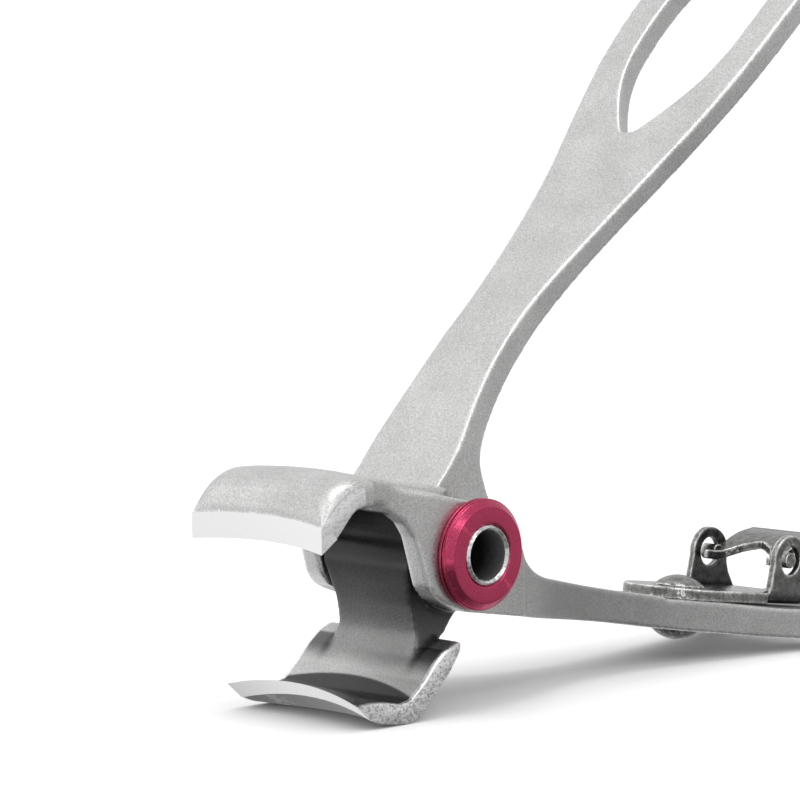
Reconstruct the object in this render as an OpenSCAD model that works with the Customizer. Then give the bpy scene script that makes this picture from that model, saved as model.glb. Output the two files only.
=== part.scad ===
/* [Jaws] */
// Angle that the handles close through before the cutting edges meet
jaw_angle = 43; // [35:1:46]
// Width of both jaws
jaw_w = 17.8; // [16:0.1:18.5]
// Distance of the ends of the cutting edges from the pivot axis
edge_r = 20.3; // [19.6:0.1:20.6]
// How far the middle of each cutting edge is hollowed behind its ends
edge_hollow = 1.25; // [0.8:0.05:1.6]
// How steeply the hollow of the edges rises, from the level line towards the pivot
hollow_tilt = 20; // [0:1:25]

/* [Pivot] */
// Bore of the hollow pivot tube
tube_id = 4.7; // [4:0.1:4.8]
// Outer diameter of the hollow pivot tube
tube_od = 5.8; // [5.6:0.1:6]
// Outer diameter of each coloured ring
ring_od = 10.6; // [10:0.1:10.8]
// Thickness of each coloured ring
ring_t = 1.5; // [1.2:0.1:1.8]
// Distance over the two ears of the fork
fork_w = 17.4; // [17:0.1:17.8]
// Distance between the two ears of the fork
fork_gap = 12.1; // [12:0.1:12.4]
// Width of the hub between the ears
hub_w = 11.8; // [11.4:0.1:11.8]

/* [Handles] */
// Distance of the handle ends from the pivot axis
handle_reach = 89; // [86:0.5:92]
// Width of each finger loop
loop_w = 22; // [20:0.5:24]
// Width of the metal on each side of the loop windows
rail_w = 4.2; // [3.5:0.1:5]

/* [Lock] */
// Distance of the bracket's rivet from the pivot axis, along the lower handle
rivet_x = 39.4; // [38:0.1:40]
// Distance from the rivet to the hinge line of the lock lever
hinge_run = 10.9; // [10:0.1:11.2]
// Width of the bracket
bracket_w = 11.9; // [11.5:0.1:12.6]
// Thickness of the bracket's sheet
bracket_t = 1.15; // [1:0.05:1.3]

/* [Hidden] */
$fn = 96;

steel = [0.66, 0.66, 0.65];
polished = [0.55, 0.55, 0.55];
ring_red = [0.67, 0.16, 0.33];
tall = 200;

half_jaw = jaw_w / 2;
half_fork = fork_w / 2;
half_gap = fork_gap / 2;
half_loop = loop_w / 2;
fit = 0.05;              // radial running clearance
stop_gap = 0.05;         // clearance between faces that act as stops
hub_r = 5.8;
pocket_r = 6.35;         // hollow in the fork that the hub turns in
edge_z = 1.7;            // height of the upper cutting edge
edge_x = -sqrt(edge_r * edge_r - edge_z * edge_z);
// radius of the hollow, from its depth over half the jaw, and how far its axis is from the ends
grind_r = (half_jaw * half_jaw + edge_hollow * edge_hollow) / (2 * edge_hollow);
grind_run = grind_r - edge_hollow;

// --- outlines, as [x, z] in the plane across the pivot, or [x, half width] in plan ---

// section of the upper jaw at its ends: up the ground bevel, over the outside and back inside
jaw_mid = [[edge_x, edge_z], [-20.26, 4.1], [-20.15, 4.9], [-19.75, 5.75], [-19.3, 6.5],
           [-18.65, 7.15], [-17.9, 7.6], [-17.0, 7.95], [-16.1, 8.15], [-13.5, 8.1],
           [-13.5, 5.6], [-15.6, 5.4], [-16.6, 4.7], [-18.3, 3.0]];
// the same section in the end faces, where the outside has rolled in
jaw_end = [[edge_x, edge_z], [-20.26, 4.0], [-20.0, 4.55], [-19.45, 5.2], [-18.8, 5.8],
           [-18.1, 6.3], [-17.4, 6.75], [-16.7, 7.15], [-16.0, 7.5], [-13.5, 7.6],
           [-13.5, 5.6], [-15.6, 5.4], [-16.6, 4.7], [-18.3, 3.0]];
// how far the outside has rolled in, against distance from the end faces
roll = [[1, 0], [0.7, 0.12], [0.42, 0.35], [0.2, 0.7], [0.07, 1.05], [0, 1.5]];
// the web from the jaw back to its rear edge, over its top and back below
web = [[-15.6, 7.7], [-14.6, 8.15], [-13, 8.15], [-11, 7.8], [-8, 7.2], [-5.5, 6.8], [-2.75, 6.35],
       [-3.45, 5.8], [-4.9, 5.95], [-6.4, 5.65], [-8.6, 5.5], [-12.6, 5.6], [-15.6, 5.5]];
// front part of each ear, from the top of the fork down to the pivot
ear_side = [[-15.9, 8.2], [-14, 7.75], [-10.9, 7.36], [-8.4, 6.75], [-5.6, 6.2], [-3.9, 5.8],
            [0, 4.9], [3, 3], [2, -4], [-1, -5.5], [-3.7, -4.62], [-5.1, -4.0], [-6.2, -2.7],
            [-6.9, -0.4], [-7.7, 2.1], [-8.7, 3.5], [-10.2, 4.5], [-12.5, 4.9], [-15.9, 5.8]];
// upper and lower faces of the lower handle, out to its end
low_top = [[5.2, 2.2], [6.1, 0.4], [7.0, -1.2], [8.3, -2.4], [10.5, -3.3], [13.5, -4.0], [21.5, -5.75],
           [31, -7.6], [39.6, -9.0], [48, -10.3], [58, -11.35], [68, -11.85], [78, -11.6],
           [handle_reach, -10.9]];
low_bottom = [[-1.5, -5.4], [1.3, -5.85], [6.3, -6.65], [11, -7.5], [21.5, -9.2], [31, -10.9],
              [39.6, -12.25], [48, -13.45], [58, -14.5], [68, -15.04], [78, -14.75],
              [handle_reach, -14.0]];
// upper and lower faces of the upper handle, with the clipper closed
up_top = [[0.4, 6.2], [2.2, 6.33], [5, 6.55], [8, 7.05], [11.5, 7.7], [16, 8.3], [21, 8.6], [27, 8.5],
          [35, 8.15], [44, 7.95], [54, 8.2], [62, 8.5], [70, 8.5], [80, 7.9], [handle_reach, 6.9]];
up_bottom = [[5.3, -1.2], [6.3, -0.1], [7.0, 1.4], [7.7, 2.9], [8.7, 3.9], [10.5, 4.65], [14, 5.35],
             [20, 6.0], [30, 6.1], [38, 5.9], [45, 5.75], [54, 5.95], [62, 6.15], [70, 6.1], [80, 5.4],
             [handle_reach, 4.4]];
// half width of each handle along its length, and of the finger window in it
low_plan = [[-22, 8.7], [4, 8.7], [6.5, 8.6], [9, 8.1], [12, 7.1], [16, 5.9], [20, 5.1], [25, 4.8],
            [30, 5.15], [35, 5.8], [41, 6.65], [48, 7.9], [56, 9.6], [62, 10.5], [69, half_loop]];
up_plan = [[-3, 5.85], [2, 5.9], [6, 5.9], [8, 5.75], [11, 5.25], [15.5, 4.65], [20.5, 4.35], [25, 4.3],
           [30, 4.75], [35, 5.45], [40, 6.3], [45, 7.3], [50, 8.5], [56, 9.7], [62, 10.55],
           [69, half_loop]];
window_plan = [[49.6, 0], [49.75, 0.75], [50.4, 1.4], [52, 2.5], [54, 3.75], [56, 4.8], [58, 5.6],
               [61, 6.35], [65, half_loop - rail_w - 0.08], [69, half_loop - rail_w]];
// the loop's far half is an ellipse from its widest place to the end of the handle
loop_mid = 69;
loop_run = handle_reach - loop_mid;
// the lower jaw's scoop, round its outside and back along its inside
scoop = [[-2.6, -8.0], [-2.15, -8.1], [-2.1, -8.85], [-3.65, -10.9], [-6.1, -13.2], [-7.6, -14.5],
         [-9.1, -15.04], [-11.1, -14.85], [-12.8, -14.6], [-14.3, -14.1], [-15.95, -12.62],
         [-14, -12.5], [-12.1, -12.65], [-10.1, -13.05], [-8.85, -12.85], [-7.1, -11.35],
         [-5.6, -9.7], [-4.35, -8.75]];
// the lower blade with the clipper closed: its bevel from the edge down, then inside the scoop
low_edge = [edge_x, edge_z - stop_gap];
low_bevel = [edge_x + 0.28, -0.72];
blade = [low_edge, low_bevel, [-16.4, -4.1]];
// what the hollow takes away in front of the lower blade
ahead = [low_edge, low_bevel, [-17.9, -6.5], [-40, -6.5], [-40, 8], [edge_x - 0.5, 8]];
// the neck between the hub and the scoop
neck = [[-5.0, 2.2], [-6.1, 0.6], [-6.45, -1.05], [-5.8, -3.3], [-5.3, -4.8], [-4.95, -6.5],
        [-4.8, -7.7], [-5.6, -9.9], [-4.2, -11.2], [-2.2, -8.6], [-0.8, -7.75], [1.2, -5.5]];
// half width of the neck, against height
neck_waist = [[5.85, 3], [5.85, -1], [5.45, -3.4], [5.2, -5.4], [5.3, -7.4], [5.9, -9.2], [6.6, -11.5]];

// --- helpers ---

// one point of a smooth curve through the points p, between p[i] and p[i + 1]
function between(p, i, t) =
    let (a = p[max(i - 1, 0)], b = p[i], c = p[i + 1], d = p[min(i + 2, len(p) - 1)])
    b + t * ((c - a) / 2 + t * (a - 2.5 * b + 2 * c - d / 2 + t * ((d - a) / 2 + 1.5 * (b - c))));
function smooth(p, n = 3) =
    concat([for (i = [0 : len(p) - 2], j = [0 : n - 1]) between(p, i, j / n)], [p[len(p) - 1]]);
function reversed(p) = [for (i = [len(p) - 1 : -1 : 0]) p[i]];
function flipped(p) = [for (q = p) [q[0], -q[1]]];
// the rounded far end of a loop, as a quarter ellipse from its widest place
function loop_end(w, run) = [for (a = [10 : 10 : 90]) [loop_mid + run * sin(a), w * cos(a)]];
// an outline that is the same on both sides of the handle's middle line
function both_sides(p) = concat(p, reversed(flipped(p)));

// a profile across the pivot, drawn w wide about the middle plane
module slab(points, w) {
    rotate([90, 0, 0])
        linear_extrude(w, center = true)
            polygon(points);
}

// a plan outline, drawn tall
module plan(points) {
    linear_extrude(tall, center = true)
        polygon(points);
}

// a round bar along the pivot's direction
module bar(r, w) {
    rotate([90, 0, 0])
        cylinder(r = r, h = w, center = true);
}

// sweeps a section of a jaw along the hollow of its edge, which ends at the point e
module swept(points, e) {
    c = cos(hollow_tilt);
    d = sin(hollow_tilt);
    intersection() {
        translate([e[0], 0, e[1]])
            rotate([0, -hollow_tilt, 0])
                translate([-grind_run, 0, 0])
                    rotate_extrude($fn = 180)
                        polygon([for (p = points)
                            let (q = p - e, a = q[0] * c + q[1] * d, b = q[1] * c - q[0] * d)
                            [sqrt((grind_run + a) * (grind_run + a) + half_jaw * half_jaw), b]]);
        translate([-45, -half_jaw, -10])
            cube([37, jaw_w, 20]);
    }
}

// a handle from its two faces, its plan and its finger window
module handle_body(top, bottom, plan_points) {
    difference() {
        intersection() {
            slab(concat(smooth(bottom), reversed(smooth(top))), tall);
            plan(both_sides(concat(smooth(plan_points), loop_end(half_loop, loop_run))));
        }
        plan(both_sides(concat(smooth(window_plan),
                               loop_end(half_loop - rail_w, loop_run - rail_w))));
    }
}

// --- the two castings ---

// the jaw in steps from its end faces to where its outside is full
module jaw_head() {
    for (step = roll)
        intersection() {
            swept(jaw_mid + step[0] * (jaw_end - jaw_mid), [edge_x, edge_z]);
            cube([tall, jaw_w - 2 * step[1], tall], center = true);
        }
    slab(smooth(web), 15);
}

// the fork's sides, drawn in behind the jaw and full width at the pivot
module fork_sides() {
    intersection() {
        union() {
            slab(ear_side, fork_w);
            bar(ring_od / 2 - 0.1, fork_w);
        }
        plan(both_sides(smooth([[-16.4, 7.3], [-14, 7.2], [-11, 7.35], [-8.5, 8.0], [-6, 8.55],
                                [-3, half_fork], [6, half_fork]])));
        // only outside the gap between the ears
        difference() {
            cube(tall, center = true);
            cube([tall, fork_gap, tall], center = true);
        }
    }
}

module upper_jaw_lower_handle() {
    color(steel)
        difference() {
            union() {
                jaw_head();
                fork_sides();
                handle_body(low_top, low_bottom, low_plan);
            }
            // room for the hub and for the neck that swings below it
            bar(pocket_r, fork_gap);
            translate([-9, -half_gap, -9])
                cube([11.6, fork_gap, 9]);
            translate([-16, -half_gap, -4])
                cube([11.6, fork_gap, 9.2]);
            bar(tube_od / 2, tall);
            // flat seats for the bracket and for the rivet's lower dome, and the rivet's hole
            on_handle() {
                translate([-8, -10, 0])
                    cube([hinge_run + 12, 20, 4]);
                translate([0, 0, rivet_under - 4])
                    cylinder(r = dome_r + 0.05, h = 4);
                cylinder(r = rivet_r, h = 12, center = true);
            }
            // hole for the spring's fixed leg
            leg_hole(leg_fixed, 6, -1);
        }
}

module lower_jaw_upper_handle() {
    color(steel)
        difference() {
            union() {
                bar(hub_r, hub_w);
                intersection() {
                    slab(neck, tall);
                    rotate([90, 0, 90])
                        linear_extrude(tall, center = true)
                            polygon(neck_section);
                }
                difference() {
                    slab(scoop, jaw_w);
                    rotate([0, -jaw_angle, 0])
                        swept(ahead, low_edge);
                }
                rotate([0, -jaw_angle, 0]) {
                    swept(blade, low_edge);
                    handle_body(up_top, concat([[0, 0], [5, -2]], up_bottom), up_plan);
                }
            }
            bar(tube_od / 2 + fit, tall);
            // annular room for the return spring
            bar(spring_room_r, spring_room_w);
            leg_slot();
            leg_hole(leg_moved, coil_r - 1, 1);
        }
}

// the neck seen from the front, waisted
neck_half = smooth(neck_waist);
neck_section = concat(neck_half, reversed([for (q = neck_half) [-q[0], q[1]]]));

// --- the pivot ---

module pivot_tube() {
    lip = 0.25;
    half = half_fork + ring_t + 0.15;
    color(polished)
        rotate([90, 0, 0])
            rotate_extrude()
                polygon([[tube_id / 2, -half + lip], [tube_id / 2 + lip, -half],
                         [tube_od / 2 - lip, -half], [tube_od / 2, -half + lip],
                         [tube_od / 2, half - lip], [tube_od / 2 - lip, half],
                         [tube_id / 2 + lip, half], [tube_id / 2, half - lip]]);
}

// a ring with a stepped and grooved rim, its inner face at y = 0 and its outer face at +y
module pivot_ring() {
    r = ring_od / 2;
    color(ring_red)
        rotate([-90, 0, 0])
            rotate_extrude()
                polygon([[tube_od / 2, 0], [r - 0.15, 0], [r, 0.12], [r, 0.36], [r - 0.18, 0.46],
                         [r - 0.18, 0.56], [r, 0.66], [r, 0.86], [r - 0.16, 0.96], [r - 0.3, 1.0],
                         [r - 0.85, ring_t], [tube_od / 2 + 0.2, ring_t],
                         [tube_od / 2, ring_t - 0.15]]);
}

module pivot_ring_right() {
    translate([0, -half_fork, 0])
        rotate([0, 0, 180])
            pivot_ring();
}

module pivot_ring_left() {
    translate([0, half_fork, 0])
        pivot_ring();
}

// --- the return spring, wound round the tube inside the hub ---

wire_r = 0.45;
coil_r = 4.1;
coils = 3;
spring_room_r = 4.9;
spring_room_w = 4.6;
coil_pitch = 2 * wire_r + 0.1;
leg_fixed = -62;         // direction of the leg that the lower handle holds
leg_moved = 128;         // direction of the leg that the upper handle presses

// the wire's middle line: a leg, the coils and the other leg, as [x, y, z]
turn = 360 * coils + (leg_moved - leg_fixed);
wire_steps = 84;
function wire_at(a, r, f) = [r * cos(a), (f - 0.5) * coil_pitch * turn / 360, r * sin(a)];
wire_path = concat([wire_at(leg_fixed, 6.75, 0)],
                   [for (i = [0 : wire_steps]) wire_at(leg_fixed + turn * i / wire_steps, coil_r,
                                                       i / wire_steps)],
                   [wire_at(leg_moved, 5.45, 1)]);
wire_sides = 8;
function unit(v) = v / norm(v);
function wire_dir(i) = unit(wire_path[min(i + 1, len(wire_path) - 1)] - wire_path[max(i - 1, 0)]);
function wire_ring(i) =
    let (d = wire_dir(i), u = unit(cross(d, [0, 1, 0])), v = cross(d, u))
    [for (k = [0 : wire_sides - 1])
        wire_path[i] + wire_r * (u * cos(360 * k / wire_sides) + v * sin(360 * k / wire_sides))];

module return_spring() {
    n = len(wire_path);
    color(polished)
        polyhedron(
            points = [for (i = [0 : n - 1]) each wire_ring(i)],
            faces = concat(
                [[for (k = [0 : wire_sides - 1]) k]],
                [for (i = [0 : n - 2], k = [0 : wire_sides - 1])
                    let (a = i * wire_sides + k, b = i * wire_sides + (k + 1) % wire_sides)
                    [a, a + wire_sides, b + wire_sides, b]],
                [[for (k = [wire_sides - 1 : -1 : 0]) (n - 1) * wire_sides + k]]));
}

// a hole for one of the spring's legs, in the direction a from the pivot
module leg_hole(a, from, side) {
    translate([0, side * coil_pitch * turn / 720, 0])
        rotate([0, 90 - a, 0])
            translate([0, 0, from])
                cylinder(r = wire_r + 0.15, h = 2.6);
}

// opening in the hub that the spring's fixed leg passes through as the handles close
module leg_slot() {
    y0 = -coil_pitch * turn / 720;
    reach = 9;
    from = leg_fixed - jaw_angle - 12;
    to = leg_fixed + 12;
    rotate([90, 0, 0])
        translate([0, 0, -y0])
            linear_extrude(2 * wire_r + 0.4, center = true)
                polygon(concat([[0, 0]], [for (a = [from : 11 : to]) [reach * cos(a), reach * sin(a)]],
                               [[reach * cos(to), reach * sin(to)]]));
}

// --- the lock: bracket, rivet and lever ---

rivet_r = 1.6;
dome_r = 2.7;
dome_h = 1.2;
lock_tilt = 7.2;                    // slope of the lower handle under the bracket
plate_z = -8.95;                    // underside of the bracket's plate at the rivet
ear_hole_r = 1.55;
hinge_h = 3.55;                     // height of the hinge line over the plate's top
ear_r = 2.65;
stub_r = 0.85;                      // the lever's round stubs lie loose in the ears' holes
half_bracket = bracket_w / 2;
rivet_under = -3.3;                 // where the rivet's lower dome starts, below the plate

// moves things from the bracket's own frame, with the rivet at its origin, to the handle
module on_handle() {
    translate([rivet_x, 0, plate_z])
        rotate([0, lock_tilt, 0])
            children();
}

module lock_bracket() {
    bend = 1.5;
    foot = 3.4;                     // how far the ear's foot reaches in front of the hinge
    color(polished)
        on_handle()
            difference() {
                union() {
                    // the plate, round in front
                    cylinder(r = half_bracket - 0.1, h = bracket_t);
                    translate([0, -half_bracket + 0.1, 0])
                        cube([hinge_run - foot + 0.2, bracket_w - 0.2, bracket_t]);
                    // the two ears, one folded up on each side, with their bends
                    for (s = [-1, 1])
                        intersection() {
                            folded_side(s, bend);
                            slab(ear_outline(foot), tall);
                        }
                    translate([hinge_run - foot, -half_bracket + bend, 0])
                        cube([foot + foot_back, bracket_w - 2 * bend, bracket_t]);
                }
                translate([0, 0, -1])
                    cylinder(r = rivet_r, h = 4);
                translate([hinge_run, 0, bracket_t + hinge_h])
                    bar(ear_hole_r, tall);
            }
}

// seen from the side: a round top about the hinge, fuller behind, and a foot that flares out behind
ear_back = 0.3;
foot_back = 4.5;
function ear_outline(foot) =
    let (zc = bracket_t + hinge_h)
    concat([[hinge_run - foot, -0.1], [hinge_run - foot, 0.5], [hinge_run - 2.9, 1.9]],
           [for (a = [190 : -10 : 100]) [hinge_run + ear_r * cos(a), zc + ear_r * sin(a)]],
           [for (a = [90 : -10 : 0]) [hinge_run + (ear_r + ear_back) * cos(a), zc + ear_r * sin(a)]],
           [[hinge_run + 2.97, zc - 1.0], [hinge_run + 3.4, zc - 2.1], [hinge_run + 4.2, zc - 3.2],
            [hinge_run + foot_back, zc - 3.8], [hinge_run + foot_back, -0.1]]);

// the section of one folded side, drawn along the handle
module folded_side(s, bend) {
    inner = bend - bracket_t + 0.35;
    translate([hinge_run - 6, 0, 0])
        rotate([90, 0, 90])
            linear_extrude(12) {
                translate([s * (half_bracket - bend), bend])
                    intersection() {
                        difference() {
                            circle(bend);
                            circle(inner);
                        }
                        translate([s > 0 ? 0 : -bend, -bend])
                            square(bend);
                    }
                translate([s > 0 ? half_bracket - bend + inner : -half_bracket, bend])
                    square([bend - inner, 10]);
                translate([s > 0 ? half_bracket - bend - 2 : 2 - half_bracket + bend - 2, 0])
                    square([2, bend - inner]);
            }
}

module bracket_rivet() {
    dome_ball = (dome_r * dome_r + dome_h * dome_h) / (2 * dome_h);
    color(polished)
        on_handle() {
            translate([0, 0, rivet_under])
                cylinder(r = rivet_r, h = bracket_t - rivet_under);
            for (side = [[bracket_t, 1], [rivet_under, -1]])
                translate([0, 0, side[0]])
                    intersection() {
                        translate([0, 0, side[1] * (dome_h - dome_ball)])
                            sphere(dome_ball);
                        translate([0, 0, side[1] * dome_h / 2])
                            cube([8, 8, dome_h], center = true);
                    }
        }
}

// the lever: a bent plate, notched between the ears, that narrows to a nose, which hooks over the upper
// handle
lever_t = 0.9;
lever_run = 15.2;
hook_h = 4.4;                       // top of the hook at the end of the nose
half_lever = 4.65;
half_nose = 1.55;
// the plate's middle line back from the hinge, and its outline and notch in plan
lever_line = [[-1.9, -0.25], [-0.4, -0.2], [0.6, 0.2], [2.3, 1.2], [4.0, 1.95], [5.7, 2.38], [6.8, 2.5],
              [12, 2.2], [lever_run, 2.05]];
lever_outline = [[-1.9, half_lever - 0.1], [-1.4, half_lever], [6, half_lever], [7.4, half_lever - 0.7],
                 [9.2, half_nose + 0.1], [10.4, half_nose], [lever_run + 1, half_nose]];
lever_notch = [[-3, 4.15], [-1.9, 4.05], [0, 3.1], [1.3, 1.9], [2.2, 0.2]];

module lock_lever() {
    mid = smooth(lever_line, 4);
    t = lever_t / 2;
    end = mid[len(mid) - 1];
    color(polished)
        on_handle()
            translate([hinge_run, 0, bracket_t + hinge_h]) {
                intersection() {
                    slab(concat([for (q = mid) [q[0], q[1] + t]],
                                [[lever_run, hook_h], [lever_run + lever_t, hook_h],
                                 [lever_run + lever_t, end[1] - t]],
                                reversed([for (q = mid) [q[0], q[1] - t]])), tall);
                    difference() {
                        plan(both_sides(lever_outline));
                        plan(both_sides(lever_notch));
                    }
                }
                for (s = [-1, 1])
                    translate([0, s * (half_bracket - 1), 0])
                        bar(stub_r, 2);
            }
}

upper_jaw_lower_handle();
lower_jaw_upper_handle();
pivot_tube();
pivot_ring_right();
pivot_ring_left();
return_spring();
lock_bracket();
bracket_rivet();
lock_lever();
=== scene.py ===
"""A plier-type nail clipper of satin steel, standing open on a pale floor."""
import math

import bmesh
import numpy as np
import bpy
from mathutils import Matrix, Vector


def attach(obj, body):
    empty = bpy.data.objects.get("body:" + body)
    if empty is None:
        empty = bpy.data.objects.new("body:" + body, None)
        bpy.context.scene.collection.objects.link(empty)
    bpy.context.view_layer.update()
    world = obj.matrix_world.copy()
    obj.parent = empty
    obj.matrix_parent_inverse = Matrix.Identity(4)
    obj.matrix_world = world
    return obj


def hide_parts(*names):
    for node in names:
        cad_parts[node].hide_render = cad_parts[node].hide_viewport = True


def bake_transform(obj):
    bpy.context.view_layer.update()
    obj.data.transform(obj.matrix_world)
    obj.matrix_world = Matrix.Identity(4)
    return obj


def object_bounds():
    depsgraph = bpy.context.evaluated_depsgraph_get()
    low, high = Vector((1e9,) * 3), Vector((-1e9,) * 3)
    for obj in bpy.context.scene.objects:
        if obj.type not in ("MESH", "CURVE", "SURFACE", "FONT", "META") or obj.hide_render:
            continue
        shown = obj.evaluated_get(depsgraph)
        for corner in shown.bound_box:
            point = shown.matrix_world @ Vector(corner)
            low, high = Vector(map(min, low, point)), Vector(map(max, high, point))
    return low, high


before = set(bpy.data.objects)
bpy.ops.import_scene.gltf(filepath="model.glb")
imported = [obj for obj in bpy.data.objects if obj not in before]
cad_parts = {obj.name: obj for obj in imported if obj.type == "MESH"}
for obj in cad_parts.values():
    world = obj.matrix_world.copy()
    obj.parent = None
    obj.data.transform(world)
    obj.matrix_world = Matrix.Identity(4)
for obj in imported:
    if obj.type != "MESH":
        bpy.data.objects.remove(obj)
CAD_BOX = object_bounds()

MM = 0.001
# The camera stands at the right front of the jaws, a little above the pivot.
AZIMUTH = math.radians(-44.6)
ELEVATION = math.radians(4.7)
LENS = 144.0
SENSOR = 36.0
DISTANCE = 307.7 * MM
# Where the pivot's centre sits in the picture, in picture widths from the middle.
PIVOT_RIGHT = 0.015
PIVOT_DOWN = 0.1819


def make_camera():
    back = Vector((math.sin(AZIMUTH) * math.cos(ELEVATION),
                   -math.cos(AZIMUTH) * math.cos(ELEVATION),
                   math.sin(ELEVATION)))
    right = Vector((math.cos(AZIMUTH), math.sin(AZIMUTH), 0.0))
    up = back.cross(right)
    camera = bpy.data.objects.new("camera", bpy.data.cameras.new("camera"))
    camera.data.lens = LENS
    camera.data.sensor_width = SENSOR
    camera.data.clip_start = 0.01
    camera.data.clip_end = 10.0
    step = DISTANCE * SENSOR / LENS
    place = back * DISTANCE - right * (PIVOT_RIGHT * step) + up * (PIVOT_DOWN * step)
    camera.matrix_world = Matrix((
        (right.x, up.x, back.x, place.x),
        (right.y, up.y, back.y, place.y),
        (right.z, up.z, back.z, place.z),
        (0, 0, 0, 1)))
    bpy.context.scene.collection.objects.link(camera)
    bpy.context.scene.camera = camera


# ---------------------------------------------------------------- materials

# The metals' base colours.
SATIN = (0.62, 0.62, 0.615)
GROUND = (0.95, 0.95, 0.95)
NICKEL = (0.25, 0.25, 0.245)
CRIMSON = (0.5, 0.06, 0.13)
TUBE = (0.8, 0.8, 0.8)
# the bore's base grey, which painted shade darkens further
TUBE_BORE_SHADE = (0.5, 0.5, 0.5)
WIRE = (0.45, 0.45, 0.46)
# Scale of the noise that marks the rings' turned grooves, per metre of radius or depth.
GROOVES = 14000.0


class Nodes:
    """A short way to build a procedural material."""

    def __init__(self, name):
        self.material = bpy.data.materials.new(name)
        self.material.use_nodes = True
        self.tree = self.material.node_tree
        self.shader = self.tree.nodes["Principled BSDF"]
        self.coords = self.add("ShaderNodeTexCoord").outputs["Object"]

    def add(self, kind, **settings):
        node = self.tree.nodes.new(kind)
        for key, value in settings.items():
            if key in node.inputs:
                node.inputs[key].default_value = value
            else:
                setattr(node, key, value)
        return node

    def link(self, source, target):
        self.tree.links.new(source, target)
        return target

    def noise(self, grain, detail=2.0, stretch=(1, 1, 1), turn=(0, 0, 0)):
        """Noise whose grains are about the given size in metres."""
        mapping = self.add("ShaderNodeMapping")
        mapping.inputs["Scale"].default_value = stretch
        mapping.inputs["Rotation"].default_value = turn
        self.link(self.coords, mapping.inputs["Vector"])
        noise = self.add("ShaderNodeTexNoise", Scale=1.0 / grain, Detail=detail)
        self.link(mapping.outputs["Vector"], noise.inputs["Vector"])
        return noise.outputs["Fac"]

    def ramp(self, source, low, high, start=0.0, end=1.0):
        """Maps a value between start and end to one between low and high."""
        node = self.add("ShaderNodeMapRange")
        node.inputs["From Min"].default_value = start
        node.inputs["From Max"].default_value = end
        node.inputs["To Min"].default_value = low
        node.inputs["To Max"].default_value = high
        self.link(source, node.inputs["Value"])
        return node.outputs["Result"]

    def spread(self, noise, low, high):
        """Spreads noise, which mostly lies between 0.3 and 0.7, from low to high."""
        return self.ramp(noise, low, high, 0.3, 0.7)

    def maths(self, operation, first, second=0.0):
        node = self.add("ShaderNodeMath", operation=operation)
        for socket, value in zip(node.inputs, (first, second)):
            if isinstance(value, (int, float)):
                socket.default_value = value
            else:
                self.link(value, socket)
        return node.outputs["Value"]

    def tint(self, colour, factor):
        """A colour times a value."""
        node = self.add("ShaderNodeMix", data_type="RGBA", blend_type="MULTIPLY")
        node.inputs["Factor"].default_value = 1.0
        node.inputs[6].default_value = (*colour, 1)
        self.link(factor, node.inputs[7])
        return node.outputs[2]

    def bump(self, height, depth, strength=1.0):
        node = self.add("ShaderNodeBump", Strength=strength, Distance=depth)
        self.link(height, node.inputs["Height"])
        self.link(node.outputs["Normal"], self.shader.inputs["Normal"])

    def edges(self, low=0.46, high=0.56):
        """0 in hollows, 1 on outside edges."""
        point = self.add("ShaderNodeNewGeometry").outputs["Pointiness"]
        return self.ramp(point, 0.0, 1.0, low, high)

    def set(self, **values):
        for key, value in values.items():
            self.shader.inputs[key.replace("_", " ")].default_value = value


def satin_steel():
    """Fine blasted steel: small grains, faint stains, edges rubbed bright and painted with highlights, and
    hollows painted in shade.

    The mesh brings painted light and shade that lighten or darken it by place.
    """
    n = Nodes("satin_steel")
    n.set(Metallic=1.0)
    # painted light and shade by place, carried by the mesh
    painted_light = n.add("ShaderNodeAttribute", attribute_name="painted_light").outputs["Fac"]
    grain = n.noise(0.17 * MM, 2.0)
    stain = n.noise(5 * MM, 3.0)
    value = n.maths("MULTIPLY", n.spread(grain, 0.77, 1.2), n.spread(stain, 0.93, 1.06))
    # painted highlights on outside edges, partly edges rubbed bright, and painted shade in hollows
    value = n.maths("MULTIPLY", value, n.ramp(n.edges(), 0.66, 1.45))
    value = n.maths("MULTIPLY", value, painted_light)
    n.link(n.tint(SATIN, value), n.shader.inputs["Base Color"])
    rough = n.maths("SUBTRACT", n.spread(grain, 0.34, 0.5), n.ramp(n.edges(0.5, 0.6), 0.0, 0.12))
    n.link(rough, n.shader.inputs["Roughness"])
    n.bump(grain, 0.02 * MM, 0.7)
    return n.material


def ground_steel():
    """The smooth pale bevel at a cutting edge, with faint grinding lines across it."""
    n = Nodes("ground_bevel")
    n.set(Metallic=1.0)
    lines = n.noise(0.12 * MM, 1.0, stretch=(1, 4, 0.15))
    n.link(n.tint(GROUND, n.spread(lines, 0.96, 1.03)), n.shader.inputs["Base Color"])
    n.link(n.spread(lines, 0.22, 0.3), n.shader.inputs["Roughness"])
    n.bump(lines, 0.002 * MM, 0.5)
    return n.material


def scratched_steel(name, shade, pit):
    """End faces ground by hand: short slanting scratches with darker pits between them."""
    n = Nodes(name)
    n.set(Metallic=1.0)
    lines = n.noise(0.3 * MM, 2.0, stretch=(0.4, 1, 2.2), turn=(0, math.radians(35), 0))
    pits = n.noise(0.25 * MM, 2.0)
    value = n.maths("MULTIPLY", n.ramp(lines, 0.8, 1.12, 0.35, 0.65),
                    n.ramp(pits, pit, 1.08, 0.36, 0.52))
    # shade sets how light each copy is: the two jaws' end faces are painted lit and shaded
    n.link(n.tint((shade, shade, shade), value), n.shader.inputs["Base Color"])
    n.link(n.spread(lines, 0.3, 0.45), n.shader.inputs["Roughness"])
    n.bump(n.maths("MULTIPLY", lines, pits), 0.03 * MM, 0.7)
    return n.material


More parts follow.
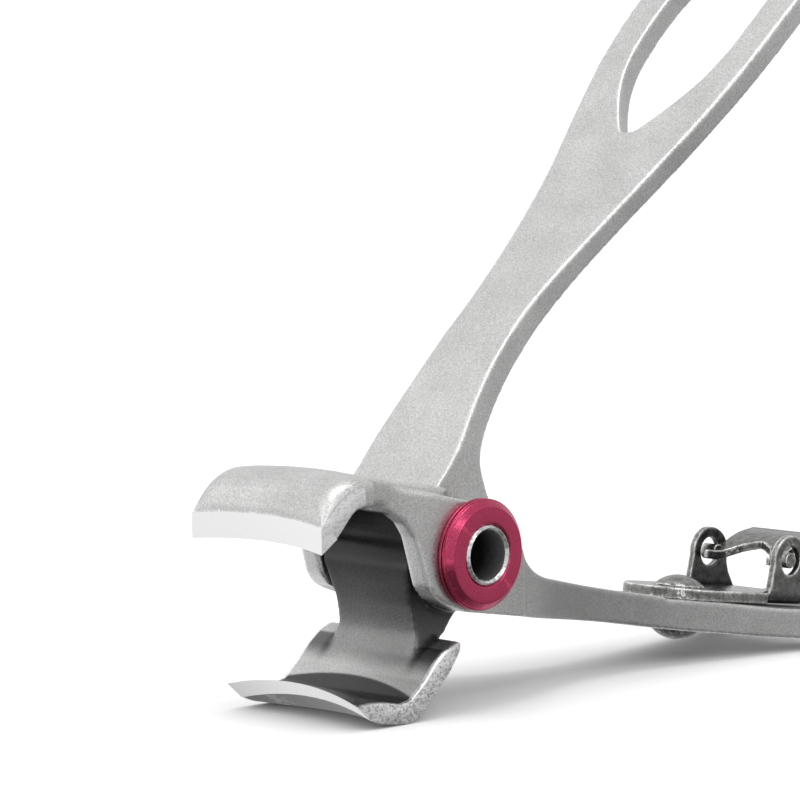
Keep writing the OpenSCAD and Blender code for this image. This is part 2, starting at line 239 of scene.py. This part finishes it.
def nickel():
    """Tumbled nickel plate: glossy and uneven, with painted shade that turns its hollows near black and
    painted highlights along its edges.

    The mesh brings painted shade by place here too.
    """
    n = Nodes("nickel_steel")
    n.set(Metallic=1.0)
    # painted shade by place, carried by the mesh
    painted_light = n.add("ShaderNodeAttribute", attribute_name="painted_light").outputs["Fac"]
    dents = n.noise(0.7 * MM, 3.0)
    specks = n.noise(0.14 * MM, 2.0)
    value = n.maths("MULTIPLY", n.ramp(dents, 0.6, 1.3, 0.32, 0.68), n.spread(specks, 0.8, 1.18))
    # painted shade, near black, in hollows and painted highlights along edges
    value = n.maths("MULTIPLY", value, n.ramp(n.edges(0.492, 0.536), 0.3, 3.2))
    value = n.maths("MULTIPLY", value, painted_light)
    n.link(n.tint(NICKEL, value), n.shader.inputs["Base Color"])
    n.link(n.spread(dents, 0.12, 0.28), n.shader.inputs["Roughness"])
    n.bump(n.maths("ADD", n.maths("MULTIPLY", dents, 3.0), specks), 0.03 * MM, 0.8)
    return n.material


def turned_coords(n):
    """Distance from the pivot's axis, and distance along it."""
    split = n.add("ShaderNodeSeparateXYZ")
    n.link(n.coords, split.inputs["Vector"])
    x2 = n.maths("MULTIPLY", split.outputs["X"], split.outputs["X"])
    z2 = n.maths("MULTIPLY", split.outputs["Z"], split.outputs["Z"])
    return n.maths("SQRT", n.maths("ADD", x2, z2)), split.outputs["Y"]


def anodised():
    """Crimson anodised aluminium with fine turning marks."""
    n = Nodes("red_anodised")
    n.set(Metallic=1.0)
    radius, along = turned_coords(n)
    rings = n.add("ShaderNodeTexNoise", noise_dimensions="1D", Scale=1.0, Detail=2.0)
    n.link(n.maths("MULTIPLY", n.maths("ADD", radius, along), GROOVES), rings.inputs["W"])
    fleck = n.noise(0.14 * MM, 2.0)
    value = n.maths("MULTIPLY", n.spread(rings.outputs["Fac"], 0.7, 1.22), n.spread(fleck, 0.8, 1.18))
    # painted highlights on the rims' edges and chamfer, and painted shade in the groove
    value = n.maths("MULTIPLY", value, n.ramp(n.edges(0.45, 0.58), 0.75, 1.5))
    n.link(n.tint(CRIMSON, value), n.shader.inputs["Base Color"])
    n.link(n.spread(fleck, 0.16, 0.3), n.shader.inputs["Roughness"])
    n.bump(rings.outputs["Fac"], 0.012 * MM, 0.8)
    return n.material


def tube_steel():
    """Bright steel, slightly dented."""
    n = Nodes("bright_steel")
    n.set(Metallic=1.0)
    dents = n.noise(0.35 * MM, 3.0)
    n.link(n.tint(TUBE, n.ramp(dents, 0.55, 1.15, 0.32, 0.6)), n.shader.inputs["Base Color"])
    n.link(n.spread(dents, 0.2, 0.38), n.shader.inputs["Roughness"])
    n.bump(dents, 0.06 * MM, 0.6)
    return n.material


def tube_bore_shade():
    """The inside of the tube, with painted shade that darkens it deep in the bore and less towards its
    mouths.
    """
    n = Nodes("tube_bore_shade")
    n.set(Metallic=0.6, Roughness=0.45)
    _, along = turned_coords(n)
    depth = n.maths("ABSOLUTE", along)
    # painted shade: darkest deep in the bore, lighter towards the mouths
    value = n.maths("MULTIPLY", n.ramp(depth, 0.05, 0.4, 7.0 * MM, 10.2 * MM),
                    n.ramp(n.noise(0.5 * MM), 0.6, 1.4))
    n.link(n.tint(TUBE_BORE_SHADE, value), n.shader.inputs["Base Color"])
    return n.material


def spring_wire():
    """Plain drawn steel wire."""
    n = Nodes("spring_wire")
    n.set(Metallic=1.0, Roughness=0.3)
    n.link(n.tint(WIRE, n.ramp(n.noise(0.3 * MM), 0.8, 1.1)), n.shader.inputs["Base Color"])
    return n.material


def matt(name, grey):
    """A matt surface that mirrors nothing."""
    n = Nodes(name)
    n.set(Roughness=0.9, Specular_IOR_Level=0.0, Base_Color=(grey, grey, grey, 1))
    return n.material


# ---------------------------------------------------------------- meshes

# How far the lower jaw stands open from the upper one.
JAW_ANGLE = math.radians(43)
HALF_JAW = 8.9 * MM
# The ends of the upper cutting edge, seen from the side.
EDGE_R = 20.3 * MM
EDGE_Z = 1.7 * MM
EDGE_X = -math.sqrt(EDGE_R ** 2 - EDGE_Z ** 2)
# The cutting edges bow back by HOLLOW in the middle, along a tilted arc.
HOLLOW = 1.25 * MM
HOLLOW_TILT = math.radians(20)
HOLLOW_R = (HALF_JAW ** 2 + HOLLOW ** 2) / (2 * HOLLOW)
HOLLOW_RUN = HOLLOW_R - HOLLOW
# How much of a casting lies before the ground bevel's cut.
BEVEL_BACK = 0.3 * MM
# Voxels of the fine copies, of the castings and of the small pieces.
FINE = 0.14 * MM
SMALL = 0.1 * MM


def new_object(name, mesh):
    obj = bpy.data.objects.new(name, mesh)
    bpy.context.scene.collection.objects.link(obj)
    return obj


def from_bmesh(name, bm):
    """An object from a bmesh, with its faces turned outwards."""
    bmesh.ops.recalc_face_normals(bm, faces=bm.faces)
    mesh = bpy.data.meshes.new(name)
    bm.to_mesh(mesh)
    bm.free()
    return new_object(name, mesh)


def settle(obj):
    """Applies every modifier of an object."""
    graph = bpy.context.evaluated_depsgraph_get()
    mesh = bpy.data.meshes.new_from_object(obj.evaluated_get(graph))
    obj.modifiers.clear()
    old = obj.data
    obj.data = mesh
    bpy.data.meshes.remove(old)


def swept_solid(name, section, end, turn=0.0):
    """A solid swept along the hollow of a cutting edge, from an [x, z] section at the jaw's ends."""
    c, s = math.cos(HOLLOW_TILT), math.sin(HOLLOW_TILT)
    place = (Matrix.Rotation(turn, 4, "Y") @ Matrix.Translation((end[0], 0, end[1]))
             @ Matrix.Rotation(-HOLLOW_TILT, 4, "Y") @ Matrix.Translation((-HOLLOW_RUN, 0, 0)))
    half = math.asin(HALF_JAW / HOLLOW_R) * 1.25
    steps = 64
    bm = bmesh.new()
    rows = []
    for i in range(steps + 1):
        a = -half + 2 * half * i / steps
        row = []
        for x, z in section:
            dx, dz = x - end[0], z - end[1]
            along, up = dx * c + dz * s, dz * c - dx * s
            r = math.hypot(HOLLOW_RUN + along, HALF_JAW)
            row.append(bm.verts.new(place @ Vector((r * math.cos(a), r * math.sin(a), up))))
        rows.append(row)
    count = len(section)
    for near, far in zip(rows, rows[1:]):
        for k in range(count):
            bm.faces.new((near[k], near[(k + 1) % count], far[(k + 1) % count], far[k]))
    bm.faces.new(rows[0][::-1])
    bm.faces.new(rows[-1])
    return from_bmesh(name, bm)


def box_cutter(name, low, high):
    """A box between two corners."""
    bm = bmesh.new()
    bmesh.ops.create_cube(bm, size=1.0)
    for v in bm.verts:
        v.co = Vector([low[i] if v.co[i] < 0 else high[i] for i in range(3)])
    return from_bmesh(name, bm)


def cut(obj, cutter, material):
    """Cuts with another object, whose material the cut faces take."""
    cutter.data.materials.append(material)
    if material.name not in [m.name for m in obj.data.materials]:
        obj.data.materials.append(material)
    mod = obj.modifiers.new("cut", "BOOLEAN")
    mod.operation = "DIFFERENCE"
    mod.solver = "EXACT"
    mod.material_mode = "TRANSFER"
    mod.object = cutter
    settle(obj)
    bpy.data.objects.remove(cutter)


def softened(node, voxel, passes, regions=()):
    """A fine copy of a CAD solid with its edges and corners rounded as a casting's are.

    Each region is a rule that weighs a point in millimetres, and how many more passes it gets.
    """
    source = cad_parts[node]
    piece = new_object(node + "_surface", source.data.copy())
    piece.data.materials.clear()
    mod = piece.modifiers.new("remesh", "REMESH")
    mod.mode = "VOXEL"
    mod.voxel_size = voxel
    mod.adaptivity = 0.0
    settle(piece)
    for index, (inside, more) in enumerate(regions):
        group = piece.vertex_groups.new(name="soft%d" % index)
        for v in piece.data.vertices:
            weight = inside(v.co / MM)
            if weight > 0:
                group.add([v.index], weight, "REPLACE")
        mod = piece.modifiers.new("soft", "SMOOTH")
        mod.factor = 0.5
        mod.iterations = more
        mod.vertex_group = group.name
        settle(piece)
    mod = piece.modifiers.new("smooth", "SMOOTH")
    mod.factor = 0.5
    mod.iterations = passes
    settle(piece)
    piece.vertex_groups.clear()
    return piece


def finish_piece(piece, node, body, sharp=30):
    """Shades a piece, puts it in its node's place and lets it move with its body."""
    piece.data.shade_smooth()
    piece.data.set_sharp_from_angle(angle=math.radians(sharp))
    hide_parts(node)
    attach(piece, body)


def fade(value, start, end):
    """0 before start, 1 after end."""
    t = (value - start) / (end - start)
    return max(0.0, min(1.0, t))


def smoothstep(value, start, end):
    """The same for arrays, with a soft start and end."""
    t = np.clip((value - start) / (end - start), 0, 1)
    return t * t * (3 - 2 * t)


def paint_light_and_shade(piece, rule):
    """Gives each point painted light and shade from its place in millimetres and its normal."""
    mesh = piece.data
    count = len(mesh.vertices)
    place = np.empty(count * 3, dtype=np.float32)
    mesh.vertices.foreach_get("co", place)
    normal = np.empty(count * 3, dtype=np.float32)
    mesh.vertex_normals.foreach_get("vector", normal)
    place = place.reshape(-1, 3) / MM
    normal = normal.reshape(-1, 3)
    painted_light = rule(*place.T, *normal.T).astype(np.float32)
    mesh.attributes.new("painted_light", "FLOAT", "POINT").data.foreach_set("value", painted_light)


def upper_painted_light(x, y, z, nx, ny, nz):
    """Painted light on the web's underside and the ears' fronts, and painted shade on the lower handle's
    side walls.
    """
    # painted light on the web's underside, between the edge and the pivot and between the ears
    mouth = smoothstep(x, -16.5, -14.5) * smoothstep(x, -1.0, -3.5) * smoothstep(z, 0.5, 3.0)
    web = smoothstep(-nz, 0.2, 0.7) * smoothstep(np.abs(y), 6.6, 5.6)
    painted_light = 1 + 0.5 * mouth * web
    # painted light on the faces of the ears that look forwards
    ear_x = smoothstep(x, -13, -11) * smoothstep(x, 0, -2)
    ear_front = smoothstep(-nx, 0.25, 0.65) * ear_x * smoothstep(z, 5.2, 4.4)
    painted_light *= 1 + 0.55 * ear_front
    # painted shade on the side walls of the lower handle, less so towards its end
    wall = smoothstep(x, 1, 14) * smoothstep(z, 3.5, -2.5) * smoothstep(np.abs(ny), 0.2, 0.8)
    return painted_light * (1 - wall * (0.42 - 0.36 * smoothstep(x, 14, 50)))


def lower_painted_light(x, y, z, nx, ny, nz):
    """Painted shade on the neck, in the hollow of the scoop and under it, and painted highlights on the
    scoop's side rims.
    """
    # painted shade on the neck between the hub and the scoop, less dark lower down and darkest on its sides
    front = np.maximum(smoothstep(x, -0.5, -2.5), smoothstep(z, 1.5, 0.0) * smoothstep(x, 5.5, 3.5))
    neck = front * smoothstep(z, 6.2, 5.4) * smoothstep(z, -11.5, -9.5)
    neck *= smoothstep(np.abs(y), 6.9, 6.2)
    dark = 0.085 + 0.12 * smoothstep(z, 0.5, 4) + 0.48 * np.clip((1 - z) / 10, 0, 1) ** 1.5
    dark = dark * (1 - 0.6 * smoothstep(np.abs(ny), 0.35, 0.75))
    painted_light = 1 - neck * (1 - dark)
    scoop = smoothstep(z, -8.6, -8.8) * smoothstep(x, -1.5, -2.5)
    inside = smoothstep(nz, 0.05, 0.2) * scoop
    # a painted shadow on the floor of the scoop, up to a line that bows back as the edge's hollow does
    bend = -8.7 + 1.2 * (1 - (y / 8.9) ** 2)
    shade = inside * smoothstep(x, bend + 0.12, bend - 0.12)
    # painted shadow in the corners of the scoop near its two ends
    corner = inside * smoothstep(z, -11.2, -9.6) * smoothstep(np.abs(y), 5.0, 6.0)
    # a painted highlight along the rims at the scoop's two ends
    rim = smoothstep(np.abs(y), 8.35, 8.5) * scoop
    # painted shade: faint over the scoop's inside, deep in its shadow and corners
    painted_light *= (1 - 0.05 * inside) * (1 - 0.86 * shade) * (1 - 0.72 * corner)
    painted_light = painted_light * (1 - rim) + rim * 1.5
    # painted shade on the faces that look down under the scoop
    outside = smoothstep(-nz, 0.1, 0.4) * smoothstep(z, -12.2, -12.8)
    return painted_light * (1 - 0.7 * outside)


def join(obj, other):
    """Adds another mesh to this one; its faces keep their materials."""
    first = len(obj.data.materials)
    for material in other.data.materials:
        obj.data.materials.append(material)
    bm = bmesh.new()
    bm.from_mesh(obj.data)
    known = len(bm.faces)
    bm.from_mesh(other.data)
    bm.faces.ensure_lookup_table()
    for face in bm.faces[known:]:
        face.material_index += first
    bm.to_mesh(obj.data)
    bm.free()
    bpy.data.objects.remove(other)


def end_faces(piece, ends, low, high, proud=0.0):
    """Grinds the two ends of a jaw flat between two corners in the x, z plane."""
    for side in (-1, 1):
        y = sorted((side * (HALF_JAW - 0.05 * MM + proud), side * 14 * MM))
        box = box_cutter("end_cut", (low[0] * MM, y[0], low[1] * MM), (high[0] * MM, y[1], high[1] * MM))
        cut(piece, box, ends)


def edge_strip(section, edge, turn, bevel, satin, ends, front):
    """The crisp ground strip at a cutting edge, polished on the given sides of its section."""
    strip = swept_solid("bevel_strip", section, edge, turn)
    strip.data.materials.append(bevel)
    strip.data.materials.append(satin)
    count = len(section)
    for index, face in enumerate(strip.data.polygons):
        face.material_index = 0 if index % count in front else 1
    end_faces(strip, ends, (-30, -20), (4, 12), 0.01 * MM)
    return strip


def upper_jaw_lower_handle(satin, bevel, ends):
    """The casting with the upper cutting edge, the fork and the lower handle."""
    def fork(p):
        # the cast corners of the fork and the roll of the jaw's outside
        roll = fade(abs(p.y), 6.3, 7.3) * fade(p.z, 4.4, 5.2) * fade(p.x, -12.0, -14.0)
        return max(roll, fade(p.x, -17.5, -15.5) * fade(p.x, -1.0, -4.0))

    def handle(p):
        return fade(p.x, 8.0, 12.0)

    piece = softened("upper_jaw_lower_handle", FINE, 7, [(fork, 40), (handle, 10)])
    piece.data.materials.append(satin)
    top = 4.15 * MM
    back = EDGE_X + BEVEL_BACK
    cutter = [(back, -3 * MM), (back, top), (-30 * MM, top), (-30 * MM, -3 * MM)]
    cut(piece, swept_solid("bevel_cut", cutter, (EDGE_X, EDGE_Z)), bevel)
    section = [(EDGE_X, EDGE_Z), (EDGE_X - 0.03 * MM, top), (EDGE_X + 0.9 * MM, top),
               (EDGE_X + 1.93 * MM, 3 * MM)]
    end_faces(piece, ends, (-30, -5), (-14.8, 12))
    join(piece, edge_strip(section, (EDGE_X, EDGE_Z), 0.0, bevel, satin, ends, (0, 1)))
    # paints light and shade into the casting by place
    paint_light_and_shade(piece, upper_painted_light)
    finish_piece(piece, "upper_jaw_lower_handle", "upper_jaw_half")


def lower_jaw_upper_handle(satin, bevel, ends):
    """The casting with the scoop, the neck, the hub and the upper handle."""
    def neck(p):
        return fade(p.z, 2.0, -1.0) * fade(p.z, -12.5, -9.0) * fade(p.x, -12.0, -8.0)

    def handle(p):
        return fade(p.z, 8.0, 12.0)

    piece = softened("lower_jaw_upper_handle", FINE, 7, [(neck, 30), (handle, 10)])
    piece.data.materials.append(satin)
    edge = (EDGE_X, EDGE_Z - 0.05 * MM)
    heel = (EDGE_X + 0.28 * MM, -0.72 * MM)
    back = EDGE_X + BEVEL_BACK
    cutter = [(back - 0.1 * MM, 4 * MM), (back, EDGE_Z), (heel[0] + BEVEL_BACK, heel[1]),
              (-30 * MM, heel[1]), (-30 * MM, 4 * MM)]
    cut(piece, swept_solid("bevel_cut", cutter, edge, -JAW_ANGLE), bevel)
    section = [edge, heel, (heel[0] + 1.0 * MM, heel[1] - 0.9 * MM), (edge[0] + 1.33 * MM, edge[1] - 2 * MM)]
    end_faces(piece, ends, (-30, -20), (4, -6))
    join(piece, edge_strip(section, edge, -JAW_ANGLE, bevel, satin, ends, (0,)))
    # paints light and shade into the casting by place
    paint_light_and_shade(piece, lower_painted_light)
    finish_piece(piece, "lower_jaw_upper_handle", "lower_jaw_half")


def lathe(name, profile, steps):
    """A turned solid round the pivot, from a closed [radius, y] profile."""
    bm = bmesh.new()
    rows = []
    for i in range(steps):
        a = 2 * math.pi * i / steps
        rows.append([bm.verts.new((r * math.cos(a), y, r * math.sin(a))) for r, y in profile])
    count = len(profile)
    for i in range(steps):
        near, far = rows[i], rows[(i + 1) % steps]
        for k in range(count):
            bm.faces.new((near[k], near[(k + 1) % count], far[(k + 1) % count], far[k]))
    return from_bmesh(name, bm)


def rounded(profile, radius, steps=4):
    """A closed outline with each corner rounded by up to the given radius."""
    out = []
    count = len(profile)
    for i, corner in enumerate(profile):
        here = Vector(corner)
        before = Vector(profile[i - 1]) - here
        after = Vector(profile[(i + 1) % count]) - here
        reach = min(radius, before.length * 0.45, after.length * 0.45)
        a = here + before.normalized() * reach
        b = here + after.normalized() * reach
        for k in range(steps + 1):
            t = k / steps
            out.append((a * (1 - t) ** 2 + here * 2 * t * (1 - t) + b * t ** 2)[:])
    return out


# The pivot's rings and tube, and half the width over the fork's ears.
RING_R = 5.3 * MM
RING_T = 1.5 * MM
TUBE_R = 2.9 * MM
BORE_R = 2.35 * MM
HALF_FORK = 8.7 * MM


def pivot_ring(node, side, material):
    """A ring with a groove in its rim and a broad chamfer."""
    steps = [(TUBE_R, 0.0), (RING_R - 0.15 * MM, 0.0), (RING_R, 0.12 * MM), (RING_R, 0.36 * MM),
             (RING_R - 0.22 * MM, 0.42 * MM), (RING_R - 0.22 * MM, 0.58 * MM), (RING_R, 0.64 * MM),
             (RING_R, 0.84 * MM), (RING_R - 0.14 * MM, 0.9 * MM), (RING_R - 0.2 * MM, 1.0 * MM),
             (RING_R - 0.72 * MM, RING_T), (TUBE_R + 0.2 * MM, RING_T), (TUBE_R, RING_T - 0.15 * MM)]
    profile = [(r, side * (HALF_FORK + y)) for r, y in rounded(steps, 0.07 * MM)]
    piece = lathe(node + "_turned", profile, 192)
    piece.data.materials.append(material)
    finish_piece(piece, node, "upper_jaw_half", 40)


def pivot_tube(outside, inside):
    """The hollow pivot, whose rounded lips stand a little proud of the rings."""
    half = HALF_FORK + RING_T + 0.15 * MM
    lip = 0.25 * MM
    steps = [(BORE_R, -half + lip), (BORE_R + lip, -half), (TUBE_R - lip, -half), (TUBE_R, -half + lip),
             (TUBE_R, half - lip), (TUBE_R - lip, half), (BORE_R + lip, half), (BORE_R, half - lip)]
    piece = lathe("pivot_tube_turned", rounded(steps, 0.12 * MM), 96)
    piece.data.materials.append(outside)
    piece.data.materials.append(inside)
    for face in piece.data.polygons:
        c = face.center
        if math.hypot(c.x, c.z) < BORE_R + 0.03 * MM:
            face.material_index = 1
    finish_piece(piece, "pivot_tube", "upper_jaw_half", 50)


def small_painted_shade(x, y, z, nx, ny, nz):
    """Painted shade on faces that look sideways or down, and on the inner sides of the ears."""
    side = smoothstep(np.abs(ny), 0.5, 0.9) * smoothstep(x, 46, 47)
    inner = smoothstep(-ny * np.sign(y), 0.3, 0.8) * smoothstep(x, 46, 47)
    return (1 - 0.25 * side) * (1 - 0.5 * inner) * (1 - 0.7 * smoothstep(-nz, 0.1, 0.6))


def small_piece(node, body, material, passes):
    """A piece of the lock: a fine copy of its CAD solid in nickel."""
    piece = softened(node, SMALL, passes)
    piece.data.materials.append(material)
    # paints shade into the piece by place
    paint_light_and_shade(piece, small_painted_shade)
    finish_piece(piece, node, body, 60)


def return_spring(material):
    """The return spring, whose coils wind up as the handles close, one leg with the fork and the other with
    the hub; here a smooth-shaded copy of its CAD mesh that stays where it stands and moves with neither
    half.
    """
    piece = new_object("return_spring_wire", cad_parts["return_spring"].data.copy())
    piece.data.materials.clear()
    piece.data.materials.append(material)
    piece.data.shade_smooth()
    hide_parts("return_spring")
    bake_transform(piece)


# ---------------------------------------------------------------- stage

FLOOR_R = 30
FLOOR_GREY = 0.83
SKY = 1.22
DOME_R = 2.5
# Each lamp's name, place, aim, side and power, in metres and watts.
LAMPS = [("key", (-0.45, 0.25, 0.5), (0, 0, 0.01), 0.3, 0.3),
         ("side", (0.1, -0.7, 0.35), (0.02, 0, 0), 0.2, 0.3),
         ("glint", (-0.2, -0.6, 0.68), (0, 0, 0), 0.12, 0.5),
         ("top", (-0.02, -0.02, 0.8), (0.02, 0, 0), 0.35, 1.6)]


def area_light(name, place, aim, side, power):
    """A square lamp."""
    data = bpy.data.lights.new(name, "AREA")
    data.shape = "SQUARE"
    data.size = side
    data.energy = power
    light = bpy.data.objects.new(name, data)
    light.location = place
    light.rotation_euler = (Vector(aim) - Vector(place)).to_track_quat("-Z", "Y").to_euler()
    bpy.context.scene.collection.objects.link(light)


def reflection_dome():
    """What the metal mirrors, seen by nothing else.

    It is a soft room, pale to the far left, grey to the right and dark below.
    """
    bm = bmesh.new()
    bmesh.ops.create_uvsphere(bm, u_segments=64, v_segments=32, radius=1.0)
    dome = from_bmesh("reflection_dome", bm)
    dome.scale = (DOME_R, DOME_R, DOME_R)
    n = Nodes("reflection_room")
    split = n.add("ShaderNodeSeparateXYZ")
    n.link(n.coords, split.inputs["Vector"])
    left = n.maths("SUBTRACT", split.outputs["Y"], split.outputs["X"])
    # on a sphere of radius 1, left runs between -1.41 and 1.41
    level = n.maths("ADD", n.ramp(left, 0.62, 1.0, -1.41, 1.41), n.ramp(split.outputs["Z"], 0.0, 0.08))
    far = n.maths("ADD", split.outputs["Y"], split.outputs["X"])
    ground = n.ramp(far, 0.25, 0.95, -0.2, 0.9)
    above = n.ramp(split.outputs["Z"], 0.0, 1.0, -0.5, -0.15)
    level = n.maths("MULTIPLY", level, n.maths("MAXIMUM", ground, above))
    emission = n.add("ShaderNodeEmission")
    n.link(level, emission.inputs["Strength"])
    n.link(emission.outputs["Emission"], n.tree.nodes["Material Output"].inputs["Surface"])
    dome.data.materials.append(n.material)
    dome.visible_camera = False
    dome.visible_diffuse = False
    dome.visible_shadow = False


def make_stage():
    """A wide pale floor, a white sky, lamps, and the dome that the metal mirrors."""
    bm = bmesh.new()
    bmesh.ops.create_circle(bm, cap_ends=True, segments=96, radius=FLOOR_R)
    floor = from_bmesh("floor", bm)
    floor.location.z = CAD_BOX[0][2]
    floor.data.materials.append(matt("floor", FLOOR_GREY))
    floor.visible_glossy = False

    world = bpy.data.worlds.new("world")
    world.use_nodes = True
    world.node_tree.nodes["Background"].inputs["Color"].default_value = (1, 1, 1, 1)
    world.node_tree.nodes["Background"].inputs["Strength"].default_value = SKY
    world.cycles_visibility.glossy = False
    scene = bpy.context.scene
    scene.world = world
    scene.view_settings.view_transform = "Standard"
    reflection_dome()
    for lamp in LAMPS:
        area_light(*lamp)


make_camera()
make_stage()
satin = satin_steel()
bevel = ground_steel()
plate = nickel()
# the upper jaw's end faces are painted lit and the lower jaw's painted in shade
upper_jaw_lower_handle(satin, bevel, scratched_steel("ground_end_upper_lit", 0.98, 0.88))
lower_jaw_upper_handle(satin, bevel, scratched_steel("ground_end_lower_shaded", 0.86, 0.6))
red = anodised()
pivot_ring("pivot_ring_right", -1, red)
pivot_ring("pivot_ring_left", 1, red)
pivot_tube(tube_steel(), tube_bore_shade())
small_piece("lock_bracket", "upper_jaw_half", plate, 5)
small_piece("bracket_rivet", "upper_jaw_half", plate, 5)
small_piece("lock_lever", "lock", plate, 3)
return_spring(spring_wire())
